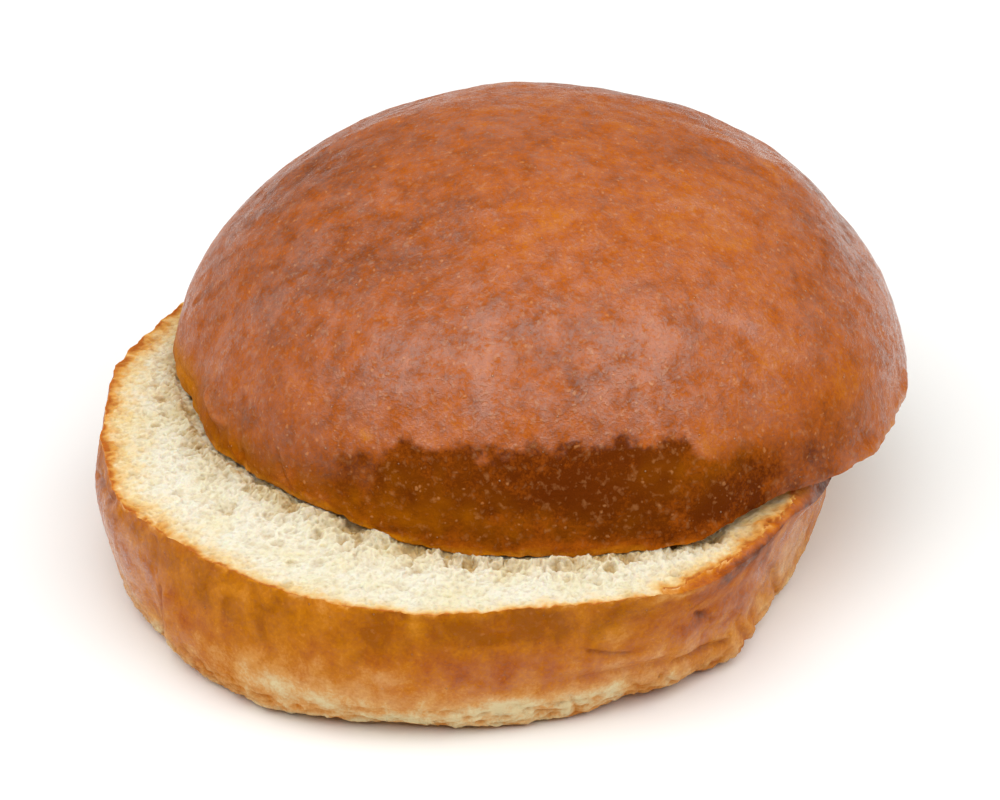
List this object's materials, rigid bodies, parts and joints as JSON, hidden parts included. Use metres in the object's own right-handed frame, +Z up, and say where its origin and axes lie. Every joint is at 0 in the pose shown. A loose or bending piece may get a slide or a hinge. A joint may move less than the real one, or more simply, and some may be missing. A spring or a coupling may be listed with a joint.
{
  "type": "sliced brioche bun",
  "caption": "Round glazed brioche bun, sliced through the middle, with its domed crown pushed back on the cut heel.",
  "frame": {"origin": "middle of the heel's flat underside, on the surface that the bun rests on", "axes": "+Z up, -Y to the bun's front as pictured, +X to its right"},
  "size_m": [0.1154, 0.1193, 0.0567],
  "materials": {
    "heel": "golden baked crust, paler towards the foot, with a cream crumb on its cut face",
    "crown": "glazed, deep golden brown crust with a satin shine, cream crumb underneath"
  },
  "bodies": {
    "root": {"heel": "heel", "crown": "crown"}
  },
  "joints": []
}
